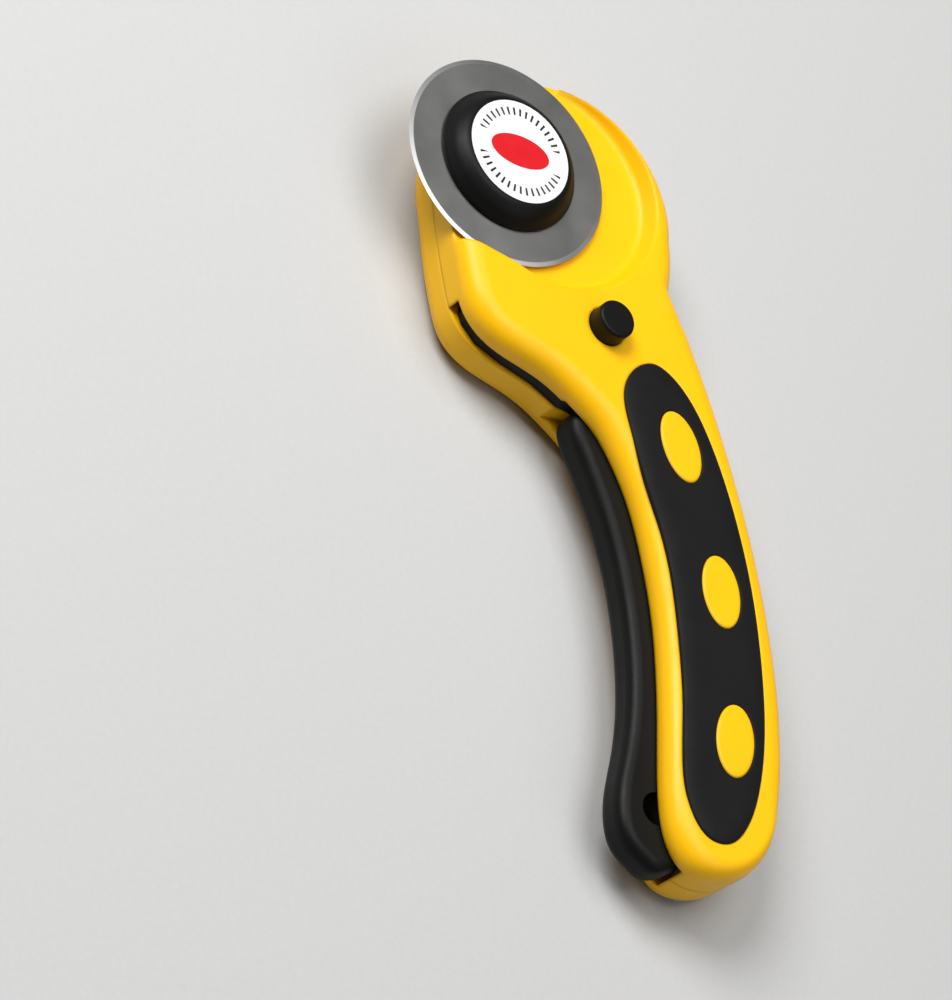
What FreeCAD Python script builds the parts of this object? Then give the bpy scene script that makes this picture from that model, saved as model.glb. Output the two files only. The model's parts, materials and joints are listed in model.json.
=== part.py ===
"""Rotary cutter, 45 mm blade, with a squeeze trigger: a parametric FreeCAD document.

The tool lies on its flat rear shell. The origin is the trigger's pivot axis on the resting plane,
+Z points out of the front face, +Y towards the cutting head and -X towards the trigger.
The trigger is drawn squeezed, so the blade stands out of its guard. All sizes are millimetres.
"""
import FreeCAD, Part
import math
import os
import re

import Sketcher
from FreeCAD import Placement, Rotation, Vector

doc = FreeCAD.newDocument("RotaryCutter")

# ---------------------------------------------------------------- driving dimensions
DIMENSIONS = {
    # layers, measured up from the resting plane
    "body_thickness": 18.0,
    "parting_height": 9.0,
    "plate_bottom": 9.3,
    "plate_top": 12.1,
    "grip_bottom": 5.3,
    "grip_top": 12.7,
    "neck_depth": 3.4,
    "handle_depth": 4.0,
    "recess_floor": 14.6,
    "blade_seat": 15.5,
    # blade and its clamp
    "blade_diameter": 45.0,
    "blade_thickness": 0.3,
    "blade_bore": 8.0,
    "blade_bevel": 0.9,
    "blade_x": 1.4,
    "blade_y": 37.0,
    "bolt_diameter": 6.0,
    "bolt_top": 19.3,
    "boss_diameter": 12.0,
    "cap_diameter": 30.4,
    "cap_height": 4.3,
    "label_diameter": 22.4,
    # trigger
    "trigger_angle": 15.5,
    "pivot_diameter": 4.0,
    "bush_diameter": 5.6,
    "running_clearance": 0.05,
    "close_fit": 0.02,
    "lever_sweep": 108.6,
    "hang_hole": 6.6,
    # shells
    "wall": 2.6,
    "front_round": 4.2,
    "rear_round": 5.0,
    "head_x": 13.9,
    "head_y": 32.0,
    "head_radius": 26.2,
    "recess_radius": 22.4,
    "blade_clearance": 0.45,
    "pad_recess": 1.6,
    "pad_proud": 0.7,
    "oval_proud": 0.85,
    # lock button
    "lock_x": 20.7,
    "lock_y": 4.4,
    "lock_head": 8.0,
    "lock_stem": 5.0,
    "lock_neck": 3.0,
    "lock_proud": 4.0,
    "lock_shoulder": 17.3,
    "lock_seat": 14.2,
    "lock_stem_bottom": 12.3,
    "lock_foot": 5.15,
    "spigot_bottom": 3.4,
    "rear_knob_bottom": 3.3,
    "lock_ring_groove": 1.1,
    # fasteners
    "screw_diameter": 3.0,
    "screw_head": 5.6,
    "screw_boss": 6.4,
    "screw_depth": 1.7,
    "screw_head_height": 2.1,
    "screw_tip": 13.2,
    # heights inside the shells and the cap
    "pin_bottom": 1.9,
    "pin_top": 16.1,
    "chamber_floor": 2.3,
    "leg_bay": 4.0,
    "clamp_seat": 15.0,
    "flange_height": 0.45,
    "insert_bottom": 17.05,
    "insert_top": 19.6,
    "label_sunk": 0.2,
}

sheet = doc.addObject("Spreadsheet::Sheet", "Dimensions")
for row, (alias, value) in enumerate(DIMENSIONS.items(), start=1):
    sheet.set(f"A{row}", alias)
    sheet.set(f"B{row}", str(value))
    sheet.setAlias(f"B{row}", alias)
doc.recompute()


def cell(alias):
    """The number held by a cell of the sheet."""
    return float(sheet.get(alias))


def linked(expression):
    """A sheet expression written with bare aliases, as setExpression wants it."""
    def qualified(word):
        return f"Dimensions.{word[0]}" if word[0] in DIMENSIONS else word[0]

    return re.sub("[a-z_]+", qualified, expression)


def value_of(expression):
    """The value of an expression written with bare aliases."""
    probe = sheet.evalExpression(linked(expression))
    return float(getattr(probe, "Value", probe))


# ---------------------------------------------------------------- places and outlines
ORIGIN = Vector(0, 0, 0)
UP = Vector(0, 0, 1)
BLADE = Vector(cell("blade_x"), cell("blade_y"), 0)
LOCK = Vector(cell("lock_x"), cell("lock_y"), 0)
HEAD = Vector(cell("head_x"), cell("head_y"), 0)
SCREWS = [Vector(34.5, 38, 0), Vector(35.2, 11, 0), Vector(49.6, -45, 0), Vector(38.5, -102.2, 0)]
HANG_HOLE = Vector(27.5, -92.1, 0)
SPRING_POST = Vector(16, 17, 0)


def turned(point, degrees):
    """A point turned clockwise about the trigger's pivot, as the opening trigger turns it."""
    return Rotation(UP, -degrees).multVec(point)


RETRACTED = turned(BLADE, cell("trigger_angle"))

# the shells' edge from the notch behind the head, down the spine, round the heel, up the trigger
# side, through the throat and round the chin to the left of the head
NOTCH = (38.5, 17.2)
NOTCH_SIDE = Vector(39.6, 22.5, 0)
HEAD_ARC = (-8, 185)
THROAT_STEP = -10.9
BODY_EDGE = [
    (41.6, 9.2), (44.5, 1.0), (48.2, -11.4), (51.6, -25.5), (54.2, -40.0), (55.8, -55.0), (56.2, -67.5),
    (55.5, -79.0), (53.5, -90.0), (50.0, -98.4), (44.6, -103.6), (37.6, -105.4), (31.8, -103.9),
    (28.6, -99.6), (27.5, -93.5), (27.7, -86.0), (28.6, -76.5), (29.3, -66.5), (29.4, -54.5), (28.0, -41.0),
    (25.5, -29.7), (22.3, -22.0), (18.6, -16.1), (14.6, -12.4), (7.8, -7.8), (0.6, -5.0), (-5.0, -2.1),
    (-8.8, 2.4), (-10.5, 9.0), (-11.5, 17.0),
]
PAD_EDGE = [
    (30.2, -1.4), (25.7, -4.4), (23.6, -9.0), (24.3, -16.5), (26.5, -26.0), (29.5, -36.5), (31.4, -48.0),
    (31.9, -60.0), (31.5, -73.0), (30.4, -84.0), (31.4, -94.0), (35.0, -98.6), (39.4, -98.9), (43.6, -95.4),
    (47.4, -87.5), (49.8, -77.0), (50.8, -63.0), (50.2, -46.0), (47.4, -29.0), (43.4, -15.6), (38.6, -6.4),
    (34.4, -2.4),
]
# centre and lean of the three oval windows in each grip pad
OVALS = [((35.8, -18.4), 104.0), ((42.4, -47.7), 93.0), ((42.5, -78.2), 81.0)]
OVAL_LONG, OVAL_SHORT = 7.5, 4.4

GRIP_OUTER = [
    (14.9, -14.8), (16.3, -20.4), (20.5, -32.0), (23.2, -43.5), (24.4, -56.5), (23.8, -71.0), (21.9, -80.5),
    (19.9, -87.5), (19.1, -94.0), (20.4, -99.4), (24.0, -102.9), (29.0, -104.0),
]
GRIP_END = [(31.4, -103.2), (33.4, -98.6)]
GRIP_INNER = [(46.2, -94.3), (49.6, -90.6), (51.8, -79.4), (52.7, -67.4), (52.2, -54.9), (51.9, -51.5)]
# a bay in the lever's inner edge clears the screw boss in the spine
GRIP_BAY = [
    (46.0, -50.4), (46.0, -41.0), (48.6, -35.0), (47.9, -26.0), (44.6, -12.2), (42.5, -11.6), (18.1, -11.6),
]
PLATE_EDGE = [
    (-7.6, 37.0), (-7.7, 12.0), (-7.7, 6.0), (-8.0, 4.2), (-7.5, 2.3), (-4.5, -1.4), (0.95, -4.3),
    (8.0, -7.1), (13.4, -10.6), (16.6, -11.6), (18.4, -18.0), (22.0, -26.0), (40.0, -30.0), (44.0, -14.0),
    (40.6, -5.0), (36.0, -2.0), (31.0, 10.0), (24.0, 20.0), (14.5, 24.0), (10.4, 37.0),
]


# ---------------------------------------------------------------- document helpers
def new_body(label):
    body = doc.addObject("PartDesign::Body", label)
    body.Label = label
    return body


def origin_plane(body, role="XY_Plane"):
    return next(f for f in body.Origin.OriginFeatures if f.Role == role)


def new_sketch(body, name, height="0", role="XY_Plane"):
    """A sketch on one of the body's origin planes, lifted to a height tied to the sheet."""
    sketch = body.newObject("Sketcher::SketchObject", name)
    sketch.AttachmentSupport = [(origin_plane(body, role), "")]
    sketch.MapMode = "FlatFace"
    sketch.setExpression("AttachmentOffset.Base.z", linked(height))
    return sketch


def add_circle(sketch, centre, radius):
    """A circle held by its centre and by a radius tied to the sheet."""
    circle = sketch.addGeometry(Part.Circle(centre, UP, value_of(radius)), False)
    sketch.addConstraint(Sketcher.Constraint("Radius", circle, value_of(radius)))
    sketch.setExpression(f"Constraints[{sketch.ConstraintCount - 1}]", linked(radius))
    if centre.Length > 0:
        sketch.addConstraint(Sketcher.Constraint("DistanceX", -1, 1, circle, 3, centre.x))
        sketch.addConstraint(Sketcher.Constraint("DistanceY", -1, 1, circle, 3, centre.y))
    else:
        sketch.addConstraint(Sketcher.Constraint("Coincident", circle, 3, -1, 1))


def join_ends(sketch, count):
    """Ties the end of each curve of a closed loop to the start of the next."""
    for index in range(count):
        sketch.addConstraint(Sketcher.Constraint("Coincident", index, 2, (index + 1) % count, 1))


def add_polygon(sketch, points):
    points = [Vector(x, y, 0) for x, y in points]
    ends = points[1:] + points[:1]
    for start, end in zip(points, ends):
        sketch.addGeometry(Part.LineSegment(start, end), False)
    join_ends(sketch, len(points))


def spline(points, closed=False, tangents=()):
    curve = Part.BSplineCurve()
    points = [Vector(x, y, 0) for x, y in points]
    if closed:
        curve.interpolate(points, PeriodicFlag=True)
    elif tangents:
        curve.interpolate(points, InitialTangent=tangents[0], FinalTangent=tangents[1])
    else:
        curve.interpolate(points)
    return curve


def pad(body, sketch, name, length, down=False):
    feature = body.newObject("PartDesign::Pad", name)
    feature.Profile = sketch
    feature.setExpression("Length", linked(length))
    feature.Reversed = down
    doc.recompute()
    return feature


def pocket(body, sketch, name, length, up=False, taper=0):
    """Cuts a sketch down, or up, and makes sure that it removed material."""
    before = body.Shape.Volume
    feature = body.newObject("PartDesign::Pocket", name)
    feature.Profile = sketch
    feature.setExpression("Length", linked(length))
    feature.Reversed = up
    feature.TaperAngle = taper
    doc.recompute()
    if body.Shape.Volume > before - 0.01:
        raise RuntimeError(f"{body.Label}: {name} cut nothing")
    return feature


def round_edges(body, name, radius, chosen, kind="Fillet"):
    """Rounds or chamfers the edges of the body's tip that the test chooses."""
    tip = body.Tip
    names = [f"Edge{i}" for i, edge in enumerate(tip.Shape.Edges, start=1) if chosen(edge)]
    if not names:
        raise RuntimeError(f"{body.Label}: {name} found no edges")
    feature = body.newObject(f"PartDesign::{kind}", name)
    feature.Base = (tip, names)
    feature.setExpression("Radius" if kind == "Fillet" else "Size", linked(radius))
    doc.recompute()
    return feature


def at_height(edge, height):
    box = edge.BoundBox
    return abs(box.ZMin - height) < 1e-4 and abs(box.ZMax - height) < 1e-4


def cylinder(label, centre, radius, bottom, height):
    """A Part cylinder standing at a bottom height, its sizes tied to the sheet."""
    solid = doc.addObject("Part::Cylinder", label)
    solid.setExpression("Radius", linked(radius))
    solid.setExpression("Height", linked(height))
    solid.Placement.Base = Vector(centre.x, centre.y, 0)
    solid.setExpression("Placement.Base.z", linked(bottom))
    return solid


# ---------------------------------------------------------------- shared shell shapes
def outline_flow():
    """The shells' edge as one curve, from the left of the head round the heel to the notch."""
    left = HEAD + Rotation(UP, HEAD_ARC[1]).multVec(Vector(cell("head_radius"), 0, 0))
    flow = [(left.x, left.y)] + BODY_EDGE[::-1] + [NOTCH]
    return spline(flow, tangents=(Vector(0.087, -1, 0), Vector(-0.34, 0.94, 0)))


def head_arc(radius):
    """The round of the head, counterclockwise, at a radius about the head's centre."""
    first, last = (math.radians(angle) for angle in HEAD_ARC)
    return Part.ArcOfCircle(Part.Circle(HEAD, UP, radius), first, last)


def add_body_outline(sketch):
    """The outline of both shells: the round head, one flowing edge and the notch's side."""
    head = head_arc(cell("head_radius"))
    sketch.addGeometry(head, False)
    sketch.addGeometry(outline_flow(), False)
    sketch.addGeometry(Part.Arc(Vector(*NOTCH, 0), NOTCH_SIDE, head.StartPoint), False)
    join_ends(sketch, 3)


def add_ovals(sketch, grow):
    for (x, y), lean in OVALS:
        along = Rotation(UP, lean).multVec(Vector(OVAL_LONG + grow, 0, 0))
        across = Rotation(UP, lean + 90).multVec(Vector(OVAL_SHORT + grow, 0, 0))
        centre = Vector(x, y, 0)
        sketch.addGeometry(Part.Ellipse(centre + along, centre + across, centre), False)


def inner_edge(points):
    """Points of the shells' edge, moved in by the wall's thickness."""
    flow = outline_flow()
    moved = []
    for x, y in points:
        tangent = flow.tangent(flow.parameter(Vector(x, y, 0)))[0]
        moved.append((x - tangent.y * cell("wall"), y + tangent.x * cell("wall")))
    return moved


def add_chain(sketch, items):
    """A closed counterclockwise loop of curves and points; straight lines join those that don't meet."""
    pieces = []
    for item, following in zip(items, items[1:] + items[:1]):
        end = item
        if not isinstance(item, Vector):
            pieces.append(item)
            end = item.EndPoint
        start = following if isinstance(following, Vector) else following.StartPoint
        if (start - end).Length > 1e-6:
            pieces.append(Part.LineSegment(end, start))
    for piece in pieces:
        sketch.addGeometry(piece, False)
    join_ends(sketch, len(pieces))


def add_neck_space(sketch):
    """Room for the lever's plate in the head and neck, open from the chin to the throat."""
    left_wall = spline([tuple(head_arc(cell("head_radius") - cell("wall")).EndPoint)[:2]]
                       + inner_edge(BODY_EDGE[:-3:-1]))
    spine = spline(inner_edge(BODY_EDGE[2::-1] + [NOTCH]))
    add_chain(sketch, [
        head_arc(cell("head_radius") - cell("wall")), left_wall,
        Vector(-8.0, 7.0, 0), Vector(-14.2, 0.5, 0), Vector(-14.2, -14, 0), spine,
    ])


def add_handle_space(sketch):
    """Deeper room for the lever's grip, open along the whole trigger side."""
    spine = spline(inner_edge(BODY_EDGE[9:1:-1]))
    sweep = [Rotation(UP, angle).multVec(Vector(cell("lever_sweep"), 0, 0)) for angle in (-85, -75, -65)]
    add_chain(sketch, [
        Part.Arc(*sweep), spine, Vector(45.3, THROAT_STEP, 0), Vector(sweep[0].x, THROAT_STEP, 0),
    ])


def hollow_out(body, up):
    """Cuts the lever's room into a shell from the parting plane and stands the screw pillars in it."""
    if up:
        neck = new_sketch(body, "neck_space", "parting_height")
        add_neck_space(neck)
        pocket(body, neck, "neck_cut", "neck_depth", up=True)
    handle = new_sketch(body, f"{body.Name}_handle_space", "parting_height")
    add_handle_space(handle)
    pocket(body, handle, f"{body.Name}_handle_cut", "handle_depth", up=up)
    pillars = new_sketch(body, f"{body.Name}_pillars", "parting_height")
    for screw in SCREWS:
        add_circle(pillars, screw, "screw_boss / 2")
    pad(body, pillars, f"{body.Name}_pillars_pad", "handle_depth + 1", down=not up)


def half_shell(label, bottom, top, rounding, round_height):
    """The blank of one shell with its outer edge rounded."""
    body = new_body(label)
    sketch = new_sketch(body, f"{label}_outline", bottom)
    add_body_outline(sketch)
    pad(body, sketch, f"{label}_block", f"{top} - {bottom}")
    round_edges(body, f"{label}_round", rounding, lambda edge: at_height(edge, round_height))
    return body


def pad_recess(body, height, up):
    """The inlay's recess, with the oval islands left standing in it."""
    sketch = new_sketch(body, f"{body.Name}_inlay", height)
    sketch.addGeometry(spline(PAD_EDGE, closed=True), False)
    add_ovals(sketch, 0)
    pocket(body, sketch, f"{body.Name}_inlay_cut", "pad_recess", up=up)


# ---------------------------------------------------------------- shells
def add_dish(body):
    """The shallow dish under the blade: a round sloping wall, and a steep one beside the bare blade."""
    radius = cell("recess_radius")
    slope = math.radians(30)
    slope_width = (cell("body_thickness") - cell("recess_floor")) * math.tan(slope)
    # the steep wall is square to this direction, and just clear of the blade when it is out
    away = Rotation(UP, 180 - cell("trigger_angle")).multVec(Vector(0, 1, 0))
    along = Rotation(UP, 90).multVec(away)
    wall_middle = BLADE + away * (cell("blade_diameter") / 2 + cell("blade_clearance"))
    foot_middle = wall_middle - away * (slope_width + 0.1)

    # the sloping dish ends in a straight edge that its slope doesn't carry past the steep wall
    depth = (foot_middle - RETRACTED).dot(away)
    half_chord = math.sqrt(radius ** 2 - depth ** 2)
    low = RETRACTED + away * depth - along * half_chord
    far_left = low - along * 30
    top = RETRACTED + Rotation(UP, 80).multVec(Vector(radius, 0, 0))
    first = math.atan2(low.y - RETRACTED.y, low.x - RETRACTED.x)
    dish = new_sketch(body, "dish", "recess_floor")
    circle = Part.Circle(RETRACTED, UP, radius)
    dish.addGeometry(Part.ArcOfCircle(circle, first, 0), False)
    dish.addGeometry(Part.ArcOfCircle(circle, 0, math.radians(80)), False)
    corners = [top, Vector(top.x, 70, 0), Vector(far_left.x, 70, 0), far_left, low]
    for start, end in zip(corners, corners[1:]):
        dish.addGeometry(Part.LineSegment(start, end), False)
    join_ends(dish, 6)
    pocket(body, dish, "dish_cut", "6", up=True, taper=math.degrees(slope))

    def slope_foot(edge):
        middle = edge.valueAt((edge.FirstParameter + edge.LastParameter) / 2)
        on_circle = abs(math.hypot(middle.x - RETRACTED.x, middle.y - RETRACTED.y) - radius) < 0.05
        on_straight = abs((middle - low).dot(away)) < 0.05
        return at_height(edge, cell("recess_floor")) and (on_circle or on_straight)

    round_edges(body, "dish_foot", "1.5", slope_foot)

    # the steep wall
    steep = new_sketch(body, "steep_wall", "recess_floor")
    left, right = wall_middle - along * 20, wall_middle + along * 8
    add_chain(steep, [left, right, right - away * 4 + along * 3, left - away * 4])
    pocket(body, steep, "steep_wall_cut", "6", up=True)


def make_front_shell():
    body = half_shell(
        "front_shell", "parting_height", "body_thickness", "front_round", cell("body_thickness"),
    )
    add_dish(body)
    pad_recess(body, "body_thickness", False)
    islands = new_sketch(body, "oval_tops", "body_thickness")
    add_ovals(islands, 0)
    pad(body, islands, "oval_tops_pad", "oval_proud")
    oval_top = cell("body_thickness") + cell("oval_proud")
    round_edges(body, "oval_tops_round", "0.4", lambda edge: at_height(edge, oval_top))
    hollow_out(body, True)

    # arc slot for the blade's boss
    slot = new_sketch(body, "boss_slot", "recess_floor")
    reach = BLADE.Length
    half = cell("boss_diameter") / 2 + 0.6
    tilt = math.degrees(math.atan2(BLADE.y, BLADE.x))
    first = tilt - cell("trigger_angle")
    arm = Rotation(UP, tilt).multVec(Vector(1, 0, 0))
    open_arm = Rotation(UP, first).multVec(Vector(1, 0, 0))
    for distance in (reach - half, reach + half):
        arc = Part.Circle(ORIGIN, UP, distance)
        slot.addGeometry(Part.ArcOfCircle(arc, math.radians(first), math.radians(tilt)), False)
    side = Rotation(UP, 90).multVec(arm) * half
    slot.addGeometry(Part.Arc(arm * (reach - half), BLADE + side, arm * (reach + half)), False)
    side = Rotation(UP, -90).multVec(open_arm) * half
    slot.addGeometry(Part.Arc(open_arm * (reach - half), RETRACTED + side, open_arm * (reach + half)), False)
    pocket(body, slot, "boss_slot_cut", "recess_floor - parting_height")

    # stepped bore of the lock button, with the groove of its friction ring
    button = new_sketch(body, "lock_counterbore", "body_thickness")
    add_circle(button, LOCK, "lock_head / 2 + 0.15")
    pocket(body, button, "lock_counterbore_cut", "body_thickness - lock_seat")
    stem = new_sketch(body, "lock_bore", "lock_seat")
    add_circle(stem, LOCK, "lock_stem / 2 + running_clearance")
    pocket(body, stem, "lock_bore_cut", "lock_seat - parting_height")
    ring = new_sketch(body, "lock_ring_groove", "lock_seat - 0.35")
    add_circle(ring, LOCK, "lock_stem / 2 + lock_ring_groove")
    pocket(body, ring, "lock_ring_groove_cut", "lock_ring_groove")

    # blind holes from the parting plane: pivot pin and screws
    pin = new_sketch(body, "pin_socket", "parting_height")
    add_circle(pin, ORIGIN, "pivot_diameter / 2 + close_fit")
    pocket(body, pin, "pin_socket_cut", "pin_top + 0.1 - parting_height", up=True)
    pilots = new_sketch(body, "screw_pilots", "parting_height")
    for screw in SCREWS:
        add_circle(pilots, screw, "screw_diameter / 2 + close_fit")
    pocket(body, pilots, "screw_pilots_cut", "4.6", up=True)
    return body


def make_rear_shell():
    body = half_shell("rear_shell", "0", "parting_height", "rear_round", 0.0)
    pad_recess(body, "0", True)
    hollow_out(body, False)

    # screw holes from the rear
    heads = new_sketch(body, "screw_counterbores", "0")
    for screw in SCREWS:
        add_circle(heads, screw, "screw_head / 2 + 0.3")
    pocket(body, heads, "screw_counterbores_cut", "screw_depth + screw_head_height", up=True)
    holes = new_sketch(body, "screw_holes", "0")
    for screw in SCREWS:
        add_circle(holes, screw, "screw_diameter / 2 + 0.15")
    pocket(body, holes, "screw_holes_cut", "parting_height", up=True)

    # pivot pin socket, and the release knob's well with its thin web
    pin = new_sketch(body, "pin_socket_rear", "parting_height")
    add_circle(pin, ORIGIN, "pivot_diameter / 2 + close_fit")
    pocket(body, pin, "pin_socket_rear_cut", "parting_height - pin_bottom + 0.1")
    well = new_sketch(body, "lock_well", "0")
    add_circle(well, LOCK, "lock_head / 2 + 1")
    pocket(body, well, "lock_well_cut", "5.2", up=True)
    neck = new_sketch(body, "lock_neck_bore", "0")
    add_circle(neck, LOCK, "lock_neck / 2 + running_clearance")
    pocket(body, neck, "lock_neck_bore_cut", "parting_height", up=True)

    # spring chamber with its post, a slot for the fixed leg and a bay for the moving leg
    chamber = new_sketch(body, "spring_chamber", "parting_height")
    add_circle(chamber, SPRING_POST, "7")
    add_circle(chamber, SPRING_POST, "3.6")
    pocket(body, chamber, "spring_chamber_cut", "parting_height - chamber_floor")
    leg = new_sketch(body, "fixed_leg_slot", "parting_height")
    x, y = SPRING_POST.x, SPRING_POST.y
    add_polygon(leg, [(x + 4.3, y - 3), (x + 4.3, y - 6.6), (x + 6, y - 6.6), (x + 6, y - 3)])
    pocket(body, leg, "fixed_leg_slot_cut", "parting_height - chamber_floor")
    bay = new_sketch(body, "moving_leg_bay", "parting_height")
    add_polygon(bay, [(2.5, 19), (x, 19), (x, 24.4), (2.5, 24.4)])
    pocket(body, bay, "moving_leg_bay_cut", "leg_bay")
    return body


# ---------------------------------------------------------------- grip inlays
def make_grip_pad(label, bottom, height, round_height):
    """A soft inlay with three oval windows. It fills its recess but for a hair of clearance."""
    body = new_body(label)
    sketch = new_sketch(body, f"{label}_outline", bottom)
    sketch.addGeometry(spline(PAD_EDGE, closed=True), False)
    add_ovals(sketch, 0.02)
    pad(body, sketch, f"{label}_block", height)

    def outer_rim(edge):
        return at_height(edge, round_height) and edge.Length > 100

    round_edges(body, f"{label}_round", "0.45", outer_rim)
    return body


# ---------------------------------------------------------------- trigger
def make_trigger_lever():
    body = new_body("trigger_lever")
    grip = new_sketch(body, "grip_outline", "grip_bottom")
    outer = spline(GRIP_OUTER, tangents=(Vector(0, -1, 0), Vector(0.949, 0.316, 0)))
    end = [Vector(x, y, 0) for x, y in GRIP_END]
    bay = [Vector(x, y, 0) for x, y in GRIP_BAY]
    nose = Part.Arc(bay[-1], Vector(15.7, -12.6, 0), outer.StartPoint)
    add_chain(grip, [outer] + end + [spline(GRIP_INNER)] + bay[:-1] + [nose])
    pad(body, grip, "grip", "grip_top - grip_bottom")

    def outer_edge(edge):
        middle = edge.valueAt((edge.FirstParameter + edge.LastParameter) / 2)
        flat = at_height(edge, cell("grip_top")) or at_height(edge, cell("grip_bottom"))
        return flat and edge.BoundBox.XMin < 30 and middle.x < 45 and middle.y < -12

    round_edges(body, "grip_round", "2.4", outer_edge)

    plate = new_sketch(body, "plate_outline", "plate_bottom")
    points = [Vector(x, y, 0) for x, y in PLATE_EDGE]
    add_chain(plate, points[:-1] + [Part.Arc(points[-1], BLADE + Vector(0, 9, 0), points[0])])
    pad(body, plate, "plate", "plate_top - plate_bottom")

    boss = new_sketch(body, "blade_boss", "plate_top")
    add_circle(boss, BLADE, "boss_diameter / 2")
    pad(body, boss, "blade_boss_pad", "clamp_seat - plate_top")

    bolt = new_sketch(body, "bolt_bore", "clamp_seat")
    add_circle(bolt, BLADE, "bolt_diameter / 2 + close_fit")
    pocket(body, bolt, "bolt_bore_cut", "clamp_seat - plate_bottom")
    socket = new_sketch(body, "bolt_head_socket", "plate_bottom")
    add_polygon(socket, hexagon(BLADE, 5.08))
    pocket(body, socket, "bolt_head_socket_cut", "2.3", up=True)
    bush = new_sketch(body, "bush_bore", "plate_bottom")
    add_circle(bush, ORIGIN, "bush_diameter / 2")
    pocket(body, bush, "bush_bore_cut", "plate_top - plate_bottom", up=True)

    # the lock's arc slot with a round pocket at each end of the stroke
    for name, angle in (("squeezed", 0.0), ("open", cell("trigger_angle"))):
        seat = new_sketch(body, f"lock_seat_{name}", "plate_bottom")
        add_circle(seat, turned(LOCK, -angle), "lock_stem / 2 + 0.2")
        pocket(body, seat, f"lock_seat_{name}_cut", "plate_top - plate_bottom", up=True)
    slot = new_sketch(body, "lock_slot", "plate_bottom")
    half = cell("lock_neck") / 2 + 0.2
    low = math.atan2(LOCK.y, LOCK.x)
    high = low + math.radians(cell("trigger_angle"))
    rays = [Vector(math.cos(angle), math.sin(angle), 0) for angle in (low, high)]
    near, far = LOCK.Length - half, LOCK.Length + half
    slot.addGeometry(Part.ArcOfCircle(Part.Circle(ORIGIN, UP, near), low, high), False)
    slot.addGeometry(Part.LineSegment(rays[1] * near, rays[1] * far), False)
    slot.addGeometry(Part.ArcOfCircle(Part.Circle(ORIGIN, UP, far), low, high), False)
    slot.addGeometry(Part.LineSegment(rays[0] * far, rays[0] * near), False)
    pocket(body, slot, "lock_slot_cut", "plate_top - plate_bottom", up=True)

    leg = new_sketch(body, "spring_leg_hole", "plate_bottom")
    add_circle(leg, Vector(5, SPRING_POST.y + 5.2, 0), "0.7")
    pocket(body, leg, "spring_leg_hole_cut", "plate_top - plate_bottom", up=True)
    hang = new_sketch(body, "hang_hole", "grip_bottom")
    add_circle(hang, HANG_HOLE, "hang_hole / 2")
    pocket(body, hang, "hang_hole_cut", "grip_top - grip_bottom", up=True)
    return body


def hexagon(centre, apothem):
    """Corners of a hexagon by its half width across flats."""
    reach = apothem / math.cos(math.radians(30))
    corners = [centre + Rotation(UP, 60 * k).multVec(Vector(reach, 0, 0)) for k in range(6)]
    return [(corner.x, corner.y) for corner in corners]


def make_pivot_pin():
    pin = cylinder("pivot_pin", ORIGIN, "pivot_diameter / 2", "pin_bottom", "pin_top - pin_bottom")
    rounded = doc.addObject("Part::Chamfer", "pivot_pin_chamfered")
    doc.recompute()
    rims = [i for i, edge in enumerate(pin.Shape.Edges, start=1) if edge.BoundBox.ZLength < 0.01]
    rounded.Base = pin
    rounded.Edges = [(i, 0.4, 0.4) for i in rims]
    pin.Label = "pivot_pin_blank"
    rounded.Label = "pivot_pin"
    return rounded


def make_ring(label, centre, outer, inner, bottom, height):
    """A plain sleeve or washer."""
    body = new_body(label)
    sketch = new_sketch(body, f"{label}_ring", bottom)
    add_circle(sketch, centre, outer)
    add_circle(sketch, centre, inner)
    pad(body, sketch, f"{label}_pad", height)
    return body


def make_trigger_spring():
    """Torsion spring: a close coil round the post, one leg in the shell and one up in the lever."""
    radius, wire, low, high, turns = 5.2, 0.4, 2.95, 5.75, 3.25
    x, y = SPRING_POST.x, SPRING_POST.y
    helix = Part.makeHelix((high - low) / turns, high - low, radius)
    helix.translate(Vector(x, y, low))
    section = Part.Wire(Part.makeCircle(wire, Vector(x + radius, y, low), Vector(0, 1, 0)))
    coil = Part.Wire(helix.Edges).makePipeShell([section], True, True)
    fixed_leg = Part.makeCylinder(wire, 6.0, Vector(x + radius, y, low), Vector(0, -1, 0))
    moving_leg = Part.makeCylinder(wire, x - 5, Vector(x, y + radius, high), Vector(-1, 0, 0))
    corner = Part.makeSphere(wire, Vector(5, y + radius, high))
    tip = Part.makeCylinder(wire, 6.2, Vector(5, y + radius, high))
    spring = doc.addObject("Part::Feature", "trigger_spring")
    spring.Shape = coil.fuse([fixed_leg, moving_leg, corner, tip]).removeSplitter()
    return spring


# ---------------------------------------------------------------- blade and clamp
def make_turned(label, profile):
    """A round piece on the blade's axis, turned from a profile of corners (radius, height) and curves."""
    body = new_body(label)
    sketch = new_sketch(body, f"{label}_profile", "0", "XZ_Plane")
    add_chain(sketch, [Vector(*item, 0) if isinstance(item, tuple) else item for item in profile])
    turn = body.newObject("PartDesign::Revolution", f"{label}_turned")
    turn.Profile = sketch
    turn.ReferenceAxis = (sketch, ["V_Axis"])
    turn.Angle = 360
    doc.recompute()
    body.Placement = Placement(BLADE, Rotation())
    return body


def make_blade_bolt():
    body = new_body("blade_bolt")
    head = new_sketch(body, "bolt_head", "plate_bottom + 0.1")
    add_polygon(head, hexagon(BLADE, 5.0))
    pad(body, head, "bolt_head_pad", "2.2")
    shank = new_sketch(body, "bolt_shank", "plate_bottom + 2.3")
    add_circle(shank, BLADE, "bolt_diameter / 2")
    pad(body, shank, "bolt_shank_pad", "bolt_top - plate_bottom - 2.3")
    round_edges(body, "bolt_tip", "0.5", lambda edge: at_height(edge, cell("bolt_top")), "Chamfer")
    return body


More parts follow.
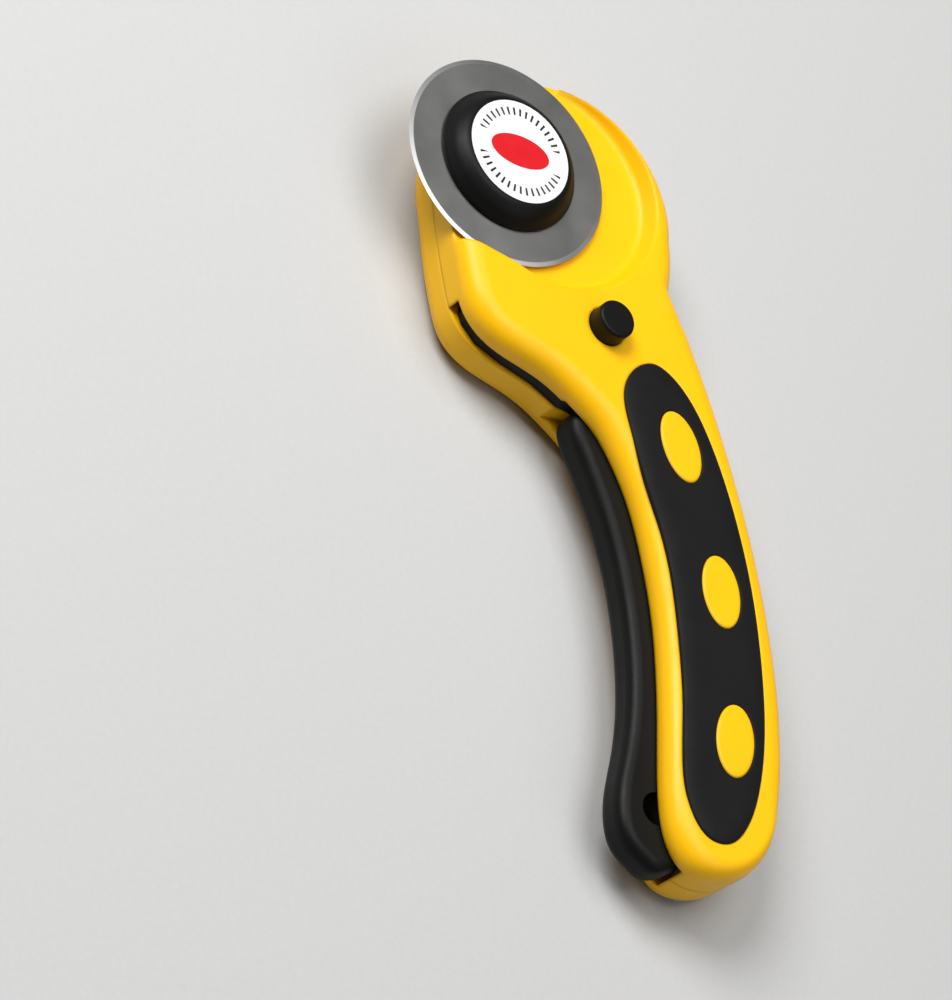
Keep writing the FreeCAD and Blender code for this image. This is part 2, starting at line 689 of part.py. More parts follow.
def make_blade_bushing():
    body = new_body("blade_bushing")
    flange = new_sketch(body, "bushing_flange", "clamp_seat")
    add_circle(flange, BLADE, "8")
    add_circle(flange, BLADE, "bolt_diameter / 2 + close_fit")
    pad(body, flange, "bushing_flange_pad", "flange_height")
    collar = new_sketch(body, "bushing_collar", "clamp_seat + flange_height")
    add_circle(collar, BLADE, "blade_bore / 2 - running_clearance")
    add_circle(collar, BLADE, "bolt_diameter / 2 + close_fit")
    pad(body, collar, "bushing_collar_pad", "0.4")
    return body


def make_cutting_blade():
    """A thin disc ground to an edge on both faces."""
    low = cell("blade_seat")
    high = low + cell("blade_thickness")
    middle = (low + high) / 2
    radius = cell("blade_diameter") / 2
    bore = cell("blade_bore") / 2
    shoulder = radius - cell("blade_bevel")
    edge = 0.02
    return make_turned("cutting_blade", [
        (bore, low), (shoulder, low), (radius, middle - edge), (radius, middle + edge), (shoulder, high),
        (bore, high),
    ])


def make_wave_washer():
    """A spring ring bent into waves, lying in the cap's hollow."""
    top, bottom, thick = 16.75, 16.05, 0.25
    ring = doc.addObject("Part::Cut", "wave_ring")
    ring.Base = cylinder("wave_ring_outer", BLADE, "8", "15.5", "2")
    ring.Tool = cylinder("wave_ring_inner", BLADE, "bolt_diameter / 2 + 0.15", "15", "3")
    height = (top - thick - bottom) / 2
    steps = 16
    across = 18
    crest = []
    for step in range(steps + 1):
        rise = height * (1 + math.cos(4 * math.pi * step / steps))
        crest.append(Vector(BLADE.x + across * (step / steps - 0.5), BLADE.y - across / 2, bottom + rise))
    lower = Part.BSplineCurve()
    lower.interpolate(crest)
    upper = Part.BSplineCurve()
    upper.interpolate([point + Vector(0, 0, thick) for point in crest])
    right = Part.LineSegment(lower.EndPoint, upper.EndPoint).toShape()
    left = Part.LineSegment(upper.StartPoint, lower.StartPoint).toShape()
    loop = Part.Wire([lower.toShape(), right, upper.toShape().reversed(), left])
    band = doc.addObject("Part::Feature", "wave_band")
    band.Shape = Part.Face(loop).extrude(Vector(0, across, 0))
    washer = doc.addObject("Part::Common", "wave_washer")
    washer.Base = ring
    washer.Tool = band
    return washer


def make_cap_knob():
    """The turning cap: a low black dome with a hollow for the spring washer."""
    base = cell("blade_seat") + 0.5
    top = base + cell("cap_height")
    wide = cell("cap_diameter") / 2
    seat = cell("label_diameter") / 2 + 0.05
    seat_height = top - cell("label_sunk")
    hollow, insert = 9.2, 5.0
    dome = spline([
        (wide - 0.3, base), (wide, base + 0.5), (wide - 0.45, base + 1.3), (wide - 1.3, base + 2.5),
        (wide - 2.4, top - 0.7), (wide - 3.2, top - 0.15), (seat + 0.3, top),
    ])
    return make_turned("cap_knob", [
        (hollow, base), dome, (seat, top), (seat, seat_height), (0, seat_height), (0, cell("insert_top")),
        (insert, cell("insert_top")), (insert, cell("insert_bottom")), (hollow, cell("insert_bottom")),
    ])


def make_cap_insert():
    """Brass nut moulded into the cap, with knurl flats round it."""
    body = new_body("cap_insert")
    sketch = new_sketch(body, "insert_ring", "insert_bottom")
    add_circle(sketch, BLADE, "5")
    add_circle(sketch, BLADE, "bolt_diameter / 2 + running_clearance")
    pad(body, sketch, "insert_pad", "insert_top - insert_bottom")
    return body


def make_cap_label():
    body = new_body("cap_label")
    sketch = new_sketch(body, "label_disc", "blade_seat + 0.5 + cap_height - label_sunk")
    add_circle(sketch, BLADE, "label_diameter / 2")
    pad(body, sketch, "label_pad", "0.3")
    return body


# ---------------------------------------------------------------- lock button
def make_lock_button():
    """Push button in one piece with its stem; the thin neck passes the lever's slot."""
    body = new_body("lock_button")
    neck = new_sketch(body, "button_neck", "lock_foot")
    add_circle(neck, LOCK, "lock_neck / 2")
    pad(body, neck, "button_neck_pad", "lock_stem_bottom - lock_foot")
    stem = new_sketch(body, "button_stem", "lock_stem_bottom")
    add_circle(stem, LOCK, "lock_stem / 2")
    pad(body, stem, "button_stem_pad", "lock_shoulder - lock_stem_bottom")
    head = new_sketch(body, "button_head", "lock_shoulder")
    add_circle(head, LOCK, "lock_head / 2")
    pad(body, head, "button_head_pad", "body_thickness + lock_proud - lock_shoulder")
    crown = cell("body_thickness") + cell("lock_proud")
    round_edges(body, "button_crown", "0.7", lambda edge: at_height(edge, crown))
    spigot = new_sketch(body, "button_spigot", "spigot_bottom")
    add_circle(spigot, LOCK, "1")
    pad(body, spigot, "button_spigot_pad", "lock_foot - spigot_bottom")
    return body


def make_lock_rear_knob():
    """The release end of the lock, pressed on the button's spigot inside the rear well."""
    body = new_body("lock_rear_knob")
    sketch = new_sketch(body, "rear_knob_ring", "rear_knob_bottom")
    add_circle(sketch, LOCK, "lock_head / 2")
    pad(body, sketch, "rear_knob_pad", "lock_foot - rear_knob_bottom")
    hole = new_sketch(body, "rear_knob_hole", "spigot_bottom")
    add_circle(hole, LOCK, "1")
    pocket(body, hole, "rear_knob_hole_cut", "lock_foot - spigot_bottom", up=True)
    round_edges(body, "rear_knob_round", "0.5", lambda edge: at_height(edge, cell("rear_knob_bottom")))
    return body


def make_lock_ring():
    """Rubber ring that grips the button's stem, so the button stays where it is pushed."""
    ring = doc.addObject("Part::Torus", "lock_friction_ring")
    ring.setExpression("Radius1", linked("lock_stem / 2 + running_clearance + 0.5"))
    ring.Radius2 = 0.5
    ring.Placement.Base = Vector(LOCK.x, LOCK.y, cell("lock_seat") - 0.9)
    return ring


# ---------------------------------------------------------------- screws
def make_screw(number, place):
    """Self-tapping pan-head screw driven from the rear."""
    label = f"shell_screw_{number}"
    body = new_body(label)
    shoulder = "screw_depth + screw_head_height"
    head = new_sketch(body, f"{label}_head", "screw_depth")
    add_circle(head, ORIGIN, "screw_head / 2")
    pad(body, head, f"{label}_head_pad", "screw_head_height")
    round_edges(body, f"{label}_head_round", "0.8", lambda edge: at_height(edge, cell("screw_depth")))
    shank = new_sketch(body, f"{label}_shank", shoulder)
    add_circle(shank, ORIGIN, "screw_diameter / 2")
    pad(body, shank, f"{label}_shank_pad", f"screw_tip - {shoulder.replace('+', '-')}")
    round_edges(body, f"{label}_tip", "0.9", lambda edge: at_height(edge, cell("screw_tip")), "Chamfer")
    cross = new_sketch(body, f"{label}_cross", "screw_depth")
    long, short = 1.5, 0.35
    add_polygon(cross, [
        (short, short), (short, long), (-short, long), (-short, short), (-long, short), (-long, -short),
        (-short, -short), (-short, -long), (short, -long), (short, -short), (long, -short), (long, short),
    ])
    pocket(body, cross, f"{label}_cross_cut", "1.1", up=True)
    body.Placement = Placement(place, Rotation(UP, 25 * number))
    return body


# ---------------------------------------------------------------- build, check and write
nodes = [
    make_front_shell(),
    make_rear_shell(),
    make_grip_pad(
        "front_grip_pad", "body_thickness - pad_recess", "pad_recess + pad_proud",
        value_of("body_thickness + pad_proud"),
    ),
    make_grip_pad("rear_grip_pad", "0.1", "pad_recess - 0.1", 0.1),
    make_pivot_pin(),
    make_trigger_spring(),
    make_trigger_lever(),
    make_ring(
        "pivot_bush", ORIGIN, "bush_diameter / 2", "pivot_diameter / 2 + running_clearance", "plate_bottom",
        "plate_top - plate_bottom",
    ),
    make_blade_bolt(),
    make_blade_bushing(),
    make_cutting_blade(),
    make_wave_washer(),
    make_cap_knob(),
    make_cap_insert(),
    make_cap_label(),
    make_lock_button(),
    make_lock_rear_knob(),
    make_lock_ring(),
] + [make_screw(number, place) for number, place in enumerate(SCREWS, start=1)]
doc.recompute()

for item in doc.Objects:
    if "Invalid" in item.State or "Error" in item.State:
        raise RuntimeError(f"{item.Label} failed: {item.State}")
os.makedirs("parts", exist_ok=True)
for node in nodes:
    if node.Shape.isNull() or not node.Shape.isValid():
        raise RuntimeError(f"{node.Label} has no valid shape")
    node.Shape.exportStep(f"parts/{node.Label}.step")
    box = node.Shape.BoundBox
    print(f"{node.Label:20} solids {len(node.Shape.Solids)} volume {node.Shape.Volume:9.1f} "
          f"z {box.ZMin:6.2f} {box.ZMax:6.2f}")
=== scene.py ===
"""Looks of the rotary cutter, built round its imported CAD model. Metres, in the row frame."""
import json
import math

import bmesh
import bpy
from mathutils import Matrix, Vector
from mathutils.geometry import delaunay_2d_cdt


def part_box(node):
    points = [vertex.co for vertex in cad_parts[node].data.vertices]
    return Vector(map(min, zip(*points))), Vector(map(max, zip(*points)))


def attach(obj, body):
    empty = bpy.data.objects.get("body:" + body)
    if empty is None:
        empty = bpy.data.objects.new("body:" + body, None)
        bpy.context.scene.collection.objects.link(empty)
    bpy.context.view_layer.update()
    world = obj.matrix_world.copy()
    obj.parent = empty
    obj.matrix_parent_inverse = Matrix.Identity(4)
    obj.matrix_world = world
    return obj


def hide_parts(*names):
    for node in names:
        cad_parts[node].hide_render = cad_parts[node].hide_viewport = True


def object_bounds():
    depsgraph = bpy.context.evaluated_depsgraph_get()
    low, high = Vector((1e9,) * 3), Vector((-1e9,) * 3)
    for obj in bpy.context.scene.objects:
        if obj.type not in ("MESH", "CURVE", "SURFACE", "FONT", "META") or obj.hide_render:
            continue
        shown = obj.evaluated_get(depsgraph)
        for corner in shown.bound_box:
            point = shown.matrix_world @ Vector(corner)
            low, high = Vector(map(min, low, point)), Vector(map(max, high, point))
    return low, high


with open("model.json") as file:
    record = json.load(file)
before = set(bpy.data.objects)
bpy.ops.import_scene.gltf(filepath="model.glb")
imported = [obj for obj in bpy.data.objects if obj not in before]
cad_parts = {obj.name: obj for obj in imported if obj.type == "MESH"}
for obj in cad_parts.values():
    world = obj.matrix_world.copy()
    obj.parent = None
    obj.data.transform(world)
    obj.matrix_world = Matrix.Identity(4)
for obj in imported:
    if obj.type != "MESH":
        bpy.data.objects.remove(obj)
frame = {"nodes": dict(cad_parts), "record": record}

cad_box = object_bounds()
MM = 0.001


# ---------------------------------------------------------------- camera, floor and light
def make_camera():
    """The camera looks down on the front face from the trigger side, rolled so the tool stands up."""
    azimuth, elevation, roll = math.radians(-50.0), math.radians(47.8916), math.radians(54.5763)
    place = Vector((-370.649, -340.468, 535.371)) * MM
    back = Vector((
        math.sin(azimuth) * math.cos(elevation),
        -math.cos(azimuth) * math.cos(elevation),
        math.sin(elevation),
    ))
    data = bpy.data.cameras.new("camera")
    data.sensor_width = 36.0
    data.lens = 136.856
    data.clip_start, data.clip_end = 0.01, 20.0
    camera = bpy.data.objects.new("camera", data)
    turn = (-back).to_track_quat("-Z", "Y").to_matrix() @ Matrix.Rotation(roll, 3, "Z")
    camera.matrix_world = Matrix.Translation(place) @ turn.to_4x4()
    bpy.context.scene.collection.objects.link(camera)
    bpy.context.scene.camera = camera


def add_light(name, place, aim, size, power):
    """A round white area light; size is its width in metres and power is in watts."""
    data = bpy.data.lights.new(name, "AREA")
    data.shape = "DISK"
    data.size = size
    data.energy = power
    light = bpy.data.objects.new(name, data)
    turn = (aim - place).to_track_quat("-Z", "Y").to_matrix().to_4x4()
    light.matrix_world = Matrix.Translation(place) @ turn
    bpy.context.scene.collection.objects.link(light)


def make_studio():
    """Three soft lights round the tool, a dim grey world and a plain pale floor."""
    centre = (cad_box[0] + cad_box[1]) / 2
    lights = (
        ("key", (-0.56, 0.52, 0.76), 0.6, 12.2),
        ("fill", (0.45, -0.65, 0.80), 0.9, 2.0),
        ("top", (0.05, 0.15, 1.1), 0.9, 8.2),
    )
    for name, way, size, power in lights:
        add_light(name, centre + Vector(way), centre, size, power)

    world = bpy.data.worlds.new("studio")
    world.use_nodes = True
    background = world.node_tree.nodes["Background"]
    background.inputs["Color"].default_value = (0.80, 0.82, 0.85, 1.0)
    background.inputs["Strength"].default_value = 0.10
    bpy.context.scene.world = world
    bpy.context.scene.view_settings.view_transform = "Standard"

    bpy.ops.mesh.primitive_plane_add(size=4.0, location=(0.0, 0.0, -0.05 * MM))
    floor = bpy.context.object
    floor.name = "studio_floor"
    material, tree, shader = new_material("studio_floor", Roughness=0.85)
    grain = noise(tree, 900.0, 3.0)
    blend_colour(tree, grain, (0.47, 0.47, 0.465), (0.51, 0.51, 0.505), shader.inputs["Base Color"])
    floor.data.materials.append(material)


# ---------------------------------------------------------------- material helpers
def new_material(name, **fixed):
    """A node material and its shader, with the shader's own sockets set by name."""
    material = bpy.data.materials.new(name)
    material.use_nodes = True
    tree = material.node_tree
    shader = tree.nodes["Principled BSDF"]
    for socket, value in fixed.items():
        shader.inputs[socket.replace("_", " ")].default_value = value
    return material, tree, shader


def add_node(tree, kind, **inputs):
    node = tree.nodes.new(kind)
    for socket, value in inputs.items():
        node.inputs[socket.replace("_", " ")].default_value = value
    return node


def place_of(tree, centre=(0.0, 0.0, 0.0)):
    """Object coordinates, which are the row frame's own, measured from a centre."""
    coordinates = tree.nodes.new("ShaderNodeTexCoord").outputs["Object"]
    shift = add_node(tree, "ShaderNodeVectorMath")
    shift.operation = "SUBTRACT"
    tree.links.new(coordinates, shift.inputs[0])
    shift.inputs[1].default_value = centre
    return shift.outputs[0]


def noise(tree, scale, detail=2.0, roughness=0.5, place=None):
    node = add_node(tree, "ShaderNodeTexNoise", Scale=scale, Detail=detail, Roughness=roughness)
    tree.links.new(place or place_of(tree), node.inputs["Vector"])
    return node.outputs["Fac"]


def calculate(tree, operation, *values):
    """A Math node; each value is a number or a socket."""
    node = tree.nodes.new("ShaderNodeMath")
    node.operation = operation
    for socket, value in zip(node.inputs, values):
        if isinstance(value, (int, float)):
            socket.default_value = value
        else:
            tree.links.new(value, socket)
    return node.outputs[0]


def spread(tree, value, low, high, from_low=0.3, from_high=0.7):
    """The value stretched over a new range."""
    node = add_node(
        tree, "ShaderNodeMapRange", From_Min=from_low, From_Max=from_high, To_Min=low, To_Max=high,
    )
    tree.links.new(value, node.inputs["Value"])
    return node.outputs["Result"]


def blend_colour(tree, factor, first, second, target=None):
    """Mixes two colours, each three numbers or a socket, by a factor."""
    node = tree.nodes.new("ShaderNodeMix")
    node.data_type = "RGBA"
    tree.links.new(factor, node.inputs["Factor"])
    for socket, colour in zip((node.inputs[6], node.inputs[7]), (first, second)):
        if isinstance(colour, tuple):
            socket.default_value = (*colour, 1.0)
        else:
            tree.links.new(colour, socket)
    if target:
        tree.links.new(node.outputs[2], target)
    return node.outputs[2]


def add_bump(tree, shader, *layers, soften=0.0):
    """Bump from height sockets, each with its depth in millimetres, over edges softened by a radius."""
    normal = None
    if soften:
        bevel = add_node(tree, "ShaderNodeBevel", Radius=soften * MM)
        bevel.samples = 6
        normal = bevel.outputs["Normal"]
    for height, depth in layers:
        node = add_node(tree, "ShaderNodeBump", Strength=1.0, Distance=depth * MM)
        tree.links.new(height, node.inputs["Height"])
        if normal:
            tree.links.new(normal, node.inputs["Normal"])
        normal = node.outputs["Normal"]
    tree.links.new(normal, shader.inputs["Normal"])


# ---------------------------------------------------------------- materials
def moulded_plastic(name, light, dark, roughness, grain_depth, soften=0.0, **fixed):
    """Moulded plastic: a slow drift of colour and a satin skin with faint flow and a fine grain."""
    material, tree, shader = new_material(name, **fixed)
    drift = spread(tree, noise(tree, 45.0, 3.0), 0.0, 1.0)
    blend_colour(tree, drift, light, dark, shader.inputs["Base Color"])
    patches = noise(tree, 160.0, 4.0, 0.6)
    tree.links.new(spread(tree, patches, roughness - 0.04, roughness + 0.05), shader.inputs["Roughness"])
    flow, grain = noise(tree, 260.0, 2.0), noise(tree, 6500.0, 3.0, 0.6)
    add_bump(tree, shader, (flow, 0.012), (grain, grain_depth), soften=soften)
    return material


def rubber(name):
    """Soft moulded grip rubber: dark, matt, with a leathery grain and a dusty sheen."""
    material, tree, shader = new_material(
        name, Sheen_Weight=0.02, Sheen_Roughness=0.5, Specular_IOR_Level=0.14,
    )
    dark, light = (0.0050, 0.0050, 0.0049), (0.0072, 0.0072, 0.0070)
    drift = spread(tree, noise(tree, 70.0, 4.0, 0.6), 0.0, 1.0)
    blend_colour(tree, drift, dark, light, shader.inputs["Base Color"])
    tree.links.new(spread(tree, noise(tree, 240.0, 4.0), 0.52, 0.62), shader.inputs["Roughness"])
    pores = tree.nodes.new("ShaderNodeTexVoronoi")
    pores.feature = "DISTANCE_TO_EDGE"
    pores.inputs["Scale"].default_value = 2600.0
    tree.links.new(place_of(tree), pores.inputs["Vector"])
    cells = calculate(tree, "MINIMUM", pores.outputs["Distance"], 0.18)
    add_bump(tree, shader, (cells, 0.05), (noise(tree, 9000.0, 2.0), 0.006))
    return material


def from_axis(tree, centre):
    """Distance from the vertical axis through a centre, and the place measured from it."""
    place = place_of(tree, centre)
    split = tree.nodes.new("ShaderNodeSeparateXYZ")
    tree.links.new(place, split.inputs[0])
    x, y = split.outputs["X"], split.outputs["Y"]
    squares = [calculate(tree, "MULTIPLY", value, value) for value in (x, y)]
    return calculate(tree, "SQRT", calculate(tree, "ADD", *squares)), x, y


def blade_steel(centre, edge_start):
    """Tool steel: circular grinding lines, a few fine scuffs and a polished edge whose brighter colour
    is a painted reflection.
    """
    material, tree, shader = new_material("blade_steel", Metallic=1.0)
    radius, x, y = from_axis(tree, centre)

    # grinding lines are noise that runs fast along the radius and slowly round the axis
    rings_per_metre, changes_per_radian = 9000.0, 5.0
    lap = tree.nodes.new("ShaderNodeCombineXYZ")
    tree.links.new(calculate(tree, "MULTIPLY", radius, rings_per_metre), lap.inputs["X"])
    angle = calculate(tree, "ARCTAN2", y, x)
    tree.links.new(calculate(tree, "MULTIPLY", angle, changes_per_radian), lap.inputs["Y"])
    rings = add_node(tree, "ShaderNodeTexNoise", Scale=1.0, Detail=3.0, Roughness=0.6)
    tree.links.new(lap.outputs[0], rings.inputs["Vector"])

    # scuffs lie one way across the disc
    streak_place = add_node(tree, "ShaderNodeMapping", Rotation=(0.0, 0.0, 0.9), Scale=(1.0, 18.0, 1.0))
    tree.links.new(place_of(tree, centre), streak_place.inputs["Vector"])
    streaks = noise(tree, 260.0, 5.0, 0.7, streak_place.outputs[0])
    scuffs = spread(tree, streaks, 0.0, 1.0, 0.66, 0.74)
    smudge = spread(tree, noise(tree, 95.0, 4.0, 0.6), 0.0, 1.0)
    blend = 0.05 * MM
    # the edge ring's mask carries a painted reflection into the colour and real polish into the
    # roughness
    polish_and_glint = spread(tree, radius, 0.0, 1.0, edge_start - blend, edge_start + blend)
    body = blend_colour(tree, smudge, (0.245, 0.245, 0.235), (0.285, 0.285, 0.275))
    marked = blend_colour(tree, calculate(tree, "MULTIPLY", scuffs, 0.5), body, (0.20, 0.20, 0.20))
    # the edge ring's bright base colour is a painted reflection of the lights on the bevel
    blend_colour(tree, polish_and_glint, marked, (0.62, 0.62, 0.62), shader.inputs["Base Color"])
    face = spread(tree, smudge, 0.40, 0.48, 0.0, 1.0)
    worn = calculate(tree, "ADD", face, calculate(tree, "MULTIPLY", scuffs, 0.12))
    lapped = calculate(tree, "MULTIPLY", polish_and_glint, -0.06)
    tree.links.new(calculate(tree, "ADD", worn, lapped), shader.inputs["Roughness"])
    add_bump(tree, shader, (rings.outputs["Fac"], 0.0035), (streaks, 0.002))
    return material


def plain_metal(name, light, dark, roughness):
    """Small turned or plated metal pieces, with tool marks and a mottled tone."""
    material, tree, shader = new_material(name, Metallic=1.0)
    mottle = spread(tree, noise(tree, 700.0, 4.0, 0.6), 0.0, 1.0)
    blend_colour(tree, mottle, light, dark, shader.inputs["Base Color"])
    marks = spread(tree, noise(tree, 1500.0, 3.0), roughness - 0.06, roughness + 0.08)
    tree.links.new(marks, shader.inputs["Roughness"])
    add_bump(tree, shader, (noise(tree, 5000.0, 3.0), 0.004))
    return material


def printed_label(centre, lean):
    """White printed film: a plain red oval in the middle and two arcs of plain ticks round it."""
    material, tree, shader = new_material("label", Coat_Weight=0.25, Coat_Roughness=0.12)
    radius, x, y = from_axis(tree, centre)
    cosine, sine = math.cos(lean), math.sin(lean)

    def turned(operation, first, second):
        """One coordinate of the place, turned by the label's lean."""
        scaled = calculate(tree, "MULTIPLY", first, cosine), calculate(tree, "MULTIPLY", second, sine)
        return calculate(tree, operation, *scaled)

    along, across = turned("ADD", x, y), turned("SUBTRACT", y, x)
    ratios = []
    for value, half in ((along, 6.7 * MM), (across, 3.55 * MM)):
        share = calculate(tree, "ABSOLUTE", calculate(tree, "DIVIDE", value, half))
        ratios.append(calculate(tree, "POWER", share, 2.0))
    inside = spread(tree, calculate(tree, "ADD", *ratios), 1.0, 0.0, 0.985, 1.015)

    # part of each step of the angle is printed, between two radii and away from the oval's ends
    step, printed = math.radians(9.0), 0.17
    inner, outer, bare = 8.0 * MM, 9.7 * MM, 2.6 * MM
    phase = calculate(tree, "PINGPONG", calculate(tree, "ARCTAN2", across, along), step / 2)
    ticks = calculate(tree, "LESS_THAN", phase, step * printed)
    for operation, value, limit in (
        ("GREATER_THAN", radius, inner),
        ("LESS_THAN", radius, outer),
        ("GREATER_THAN", calculate(tree, "ABSOLUTE", across), bare),
    ):
        ticks = calculate(tree, "MULTIPLY", ticks, calculate(tree, operation, value, limit))

    film = blend_colour(tree, noise(tree, 400.0), (0.74, 0.74, 0.74), (0.78, 0.78, 0.78))
    ticked = blend_colour(tree, ticks, film, (0.02, 0.02, 0.02))
    blend_colour(tree, inside, ticked, (0.60, 0.004, 0.010), shader.inputs["Base Color"])
    tree.links.new(spread(tree, noise(tree, 300.0, 3.0), 0.30, 0.38), shader.inputs["Roughness"])
    add_bump(tree, shader, (noise(tree, 500.0, 2.0), 0.004))
    return material


def dress(node, material):
    """Gives a CAD node its finished material."""
    slots = frame["nodes"][node].data.materials
    slots.clear()
    slots.append(material)


# ---------------------------------------------------------------- grip inlays
def flat_loops(node, height):
    """The outlines of a CAD node's flat face at a height, the longest first, as lists of 2-D points."""
    mesh = bmesh.new()
    mesh.from_mesh(frame["nodes"][node].data)
    bmesh.ops.remove_doubles(mesh, verts=mesh.verts, dist=2e-6)
    face_set = {face for face in mesh.faces if all(abs(v.co.z - height) < 1e-6 for v in face.verts)}
    rim = {edge for edge in mesh.edges if sum(face in face_set for face in edge.link_faces) == 1}
    loops = []
    while rim:
        edge = rim.pop()
        first, here = edge.verts
        loop = [first.co.xy.copy(), here.co.xy.copy()]
        while True:
            edge = next((e for e in here.link_edges if e in rim), None)
            if edge is None:
                break
            rim.discard(edge)
            here = edge.other_vert(here)
            loop.append(here.co.xy.copy())
        loops.append(loop[:-1])
    mesh.free()
    return sorted(loops, key=loop_length, reverse=True)


def loop_length(loop):
    return sum((b - a).length for a, b in zip(loop, loop[1:] + loop[:1]))


def evenly(loop, step):
    """A closed loop walked in even steps."""
    ends = loop[1:] + loop[:1]
    count = max(12, round(loop_length(loop) / step))
    spacing = loop_length(loop) / count
    points, walked, wanted = [], 0.0, 0.0
    for a, b in zip(loop, ends):
        length = (b - a).length
        while wanted <= walked + length - 1e-12 and len(points) < count:
            points.append(a.lerp(b, (wanted - walked) / length))
            wanted += spacing
        walked += length
    return points


def evenly_turned(loop, step, sense):
    """A loop in even steps, counterclockwise for a sense of +1 and clockwise for -1."""
    even = evenly(loop, step)
    area = sum(a.x * b.y - b.x * a.y for a, b in zip(even, even[1:] + even[:1])) / 2
    if area * sense < 0:
        even.reverse()
    return even


def moved_in(loop, distance):
    """A loop shifted along its normals: inward if it runs counterclockwise, else outward."""
    shifted = []
    for before, here, after in zip(loop[-1:] + loop[:-1], loop, loop[1:] + loop[:1]):
        tangent = (after - before).normalized()
        shifted.append(here + Vector((-tangent.y, tangent.x)) * distance)
    return shifted


def distance_to(point, loop):
    return min((point - other).length for other in loop)


def contains(loop, point):
    """Whether a ray from the point to +X crosses the loop an odd number of times."""
    inside = False
    for a, b in zip(loop, loop[1:] + loop[:1]):
        if (a.y > point.y) == (b.y > point.y):
            continue
        if point.x < a.x + (point.y - a.y) / (b.y - a.y) * (b.x - a.x):
            inside = not inside
    return inside


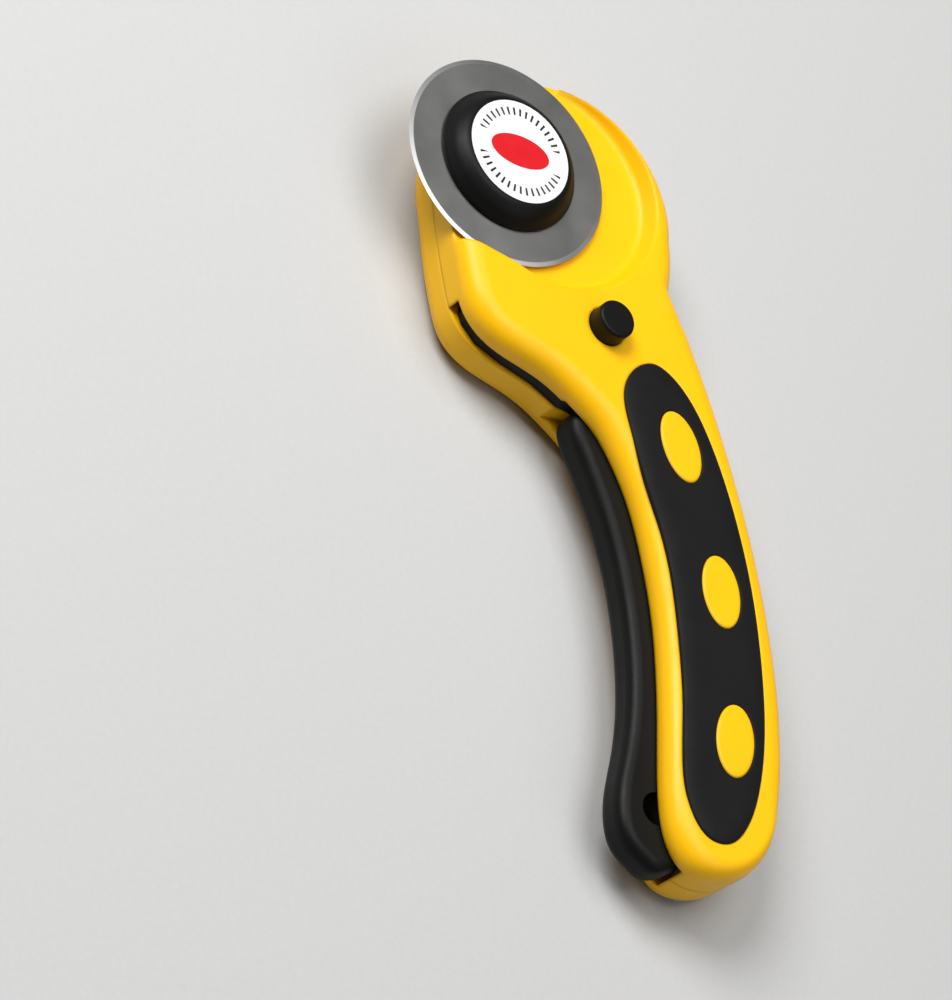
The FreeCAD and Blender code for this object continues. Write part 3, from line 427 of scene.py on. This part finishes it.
def make_inlay(name, node, seat, rim, crown, outward):
    """A grip inlay with a softly rounded rim and a crowned face, cut out round the three ovals.

    seat, rim and crown are heights of the flat underside, of the face's edge and of its middle.
    outward is +1 where the face looks up and -1 where it looks down.
    """
    loops = flat_loops(node, seat)
    outer = evenly_turned(loops[0], 0.7 * MM, 1)
    windows = [evenly_turned(loop, 0.5 * MM, -1) for loop in loops[1:]]

    # rings of points follow the rims closely, and a staggered grid fills the middle
    rim_rings, window_rings = (0.1, 0.25, 0.5, 0.9, 1.4, 2.0), (0.06, 0.14, 0.24, 0.36, 0.7)
    rim_margin, window_margin, pitch = 2.5 * MM, 1.1 * MM, 1.1 * MM
    points = []
    edges = []
    for loop in [outer] + windows:
        start = len(points)
        points += loop
        edges += [(start + k, start + (k + 1) % len(loop)) for k in range(len(loop))]
    for offset in rim_rings:
        points += moved_in(outer, offset * MM)
    for window in windows:
        for offset in window_rings:
            points += moved_in(window, offset * MM)
    low = Vector((min(p.x for p in outer), min(p.y for p in outer)))
    high = Vector((max(p.x for p in outer), max(p.y for p in outer)))
    for row in range(int((high.y - low.y) / pitch)):
        for column in range(int((high.x - low.x) / pitch)):
            shift = 0.5 * (row % 2)
            point = low + Vector(((column + shift) * pitch, row * pitch))
            if not contains(outer, point) or distance_to(point, outer) < rim_margin:
                continue
            if any(contains(w, point) or distance_to(point, w) < window_margin for w in windows):
                continue
            points.append(point)

    flat, _, faces, *_ = delaunay_2d_cdt(points, edges, [], 1, 1e-9)
    kept = []
    for face in faces:
        middle = sum((flat[k] for k in face), Vector((0.0, 0.0))) / 3
        if contains(outer, middle) and not any(contains(w, middle) for w in windows):
            kept.append(face)

    # the face rises over the shoulder's width from the rim, and rolls down over the lip's at a window
    shoulder, lip = 3.4 * MM, 0.35 * MM

    def height(point):
        rise = min(distance_to(point, outer) / shoulder, 1.0)
        level = rim + (crown - rim) * math.sqrt(1 - (1 - rise) ** 2)
        gap = min(distance_to(point, w) for w in windows)
        drop = lip - math.sqrt(lip ** 2 - (lip - min(gap, lip)) ** 2)
        return level - outward * drop

    inlay = bmesh.new()
    face_up = [inlay.verts.new((p.x, p.y, height(p))) for p in flat]
    seat_down = [inlay.verts.new((p.x, p.y, seat)) for p in flat]
    for face in kept:
        order = face if outward > 0 else face[::-1]
        inlay.faces.new([face_up[k] for k in order])
        inlay.faces.new([seat_down[k] for k in order[::-1]])
    index_of = {vertex: index for index, vertex in enumerate(face_up)}
    rims = [edge for edge in inlay.edges if len(edge.link_faces) == 1 and edge.verts[0] in index_of]
    for edge in rims:
        a, b = (index_of[vertex] for vertex in edge.verts)
        inlay.faces.new([face_up[a], face_up[b], seat_down[b], seat_down[a]])
    loose = [vertex for vertex in inlay.verts if not vertex.link_faces]
    bmesh.ops.delete(inlay, geom=loose, context="VERTS")
    bmesh.ops.recalc_face_normals(inlay, faces=inlay.faces)
    for face in inlay.faces:
        face.smooth = True
    for edge in inlay.edges:
        edge.smooth = edge.calc_face_angle(0.0) < math.radians(40)
    data = bpy.data.meshes.new(name)
    inlay.to_mesh(data)
    inlay.free()
    piece = bpy.data.objects.new(name, data)
    bpy.context.scene.collection.objects.link(piece)
    data.materials.append(materials["black_grip"])
    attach(piece, "housing")
    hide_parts(node)


# ---------------------------------------------------------------- build
make_camera()
make_studio()

blade_low, blade_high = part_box("cutting_blade")
axis = (blade_low + blade_high) / 2
blade_radius = (blade_high.x - blade_low.x) / 2
blade_bevel = 0.9 * MM
label_low, label_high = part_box("cap_label")
label_centre = (label_low + label_high) / 2

materials = {
    "yellow_shell": moulded_plastic(
        "yellow_shell", (0.91, 0.490, 0.002), (0.88, 0.465, 0.002), 0.38, 0.004, soften=1.0,
        Specular_IOR_Level=0.25, Subsurface_Weight=0.12, Subsurface_Radius=(1.0, 0.5, 0.08),
        Subsurface_Scale=1.2 * MM,
    ),
    "black_grip": rubber("black_grip"),
    "black_lever": moulded_plastic(
        "black_lever", (0.0045, 0.0044, 0.0042), (0.0062, 0.0061, 0.0058), 0.42, 0.006,
        Specular_IOR_Level=0.12,
    ),
    "black_knob": moulded_plastic(
        "black_knob", (0.0034, 0.0034, 0.0032), (0.0048, 0.0048, 0.0045), 0.44, 0.005,
        Specular_IOR_Level=0.14,
    ),
    "blade_steel": blade_steel(axis, blade_radius - blade_bevel),
    "plated_steel": plain_metal("plated_steel", (0.62, 0.62, 0.61), (0.50, 0.50, 0.50), 0.32),
    "brass": plain_metal("brass", (0.80, 0.58, 0.24), (0.68, 0.48, 0.19), 0.30),
    "friction_rubber": rubber("friction_rubber"),
    "label": printed_label(label_centre, math.radians(-3.7)),
}
for entry in frame["record"]["subparts"]:
    dress(entry["node"], materials[entry["material_slot"]])

pad_low, pad_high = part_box("front_grip_pad")
rim, crown = pad_high.z - 0.55 * MM, pad_high.z + 0.12 * MM
make_inlay("front_grip_inlay", "front_grip_pad", pad_low.z, rim, crown, 1)
pad_low, pad_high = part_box("rear_grip_pad")
make_inlay("rear_grip_inlay", "rear_grip_pad", pad_high.z, pad_low.z + 0.35 * MM, pad_low.z, -1)
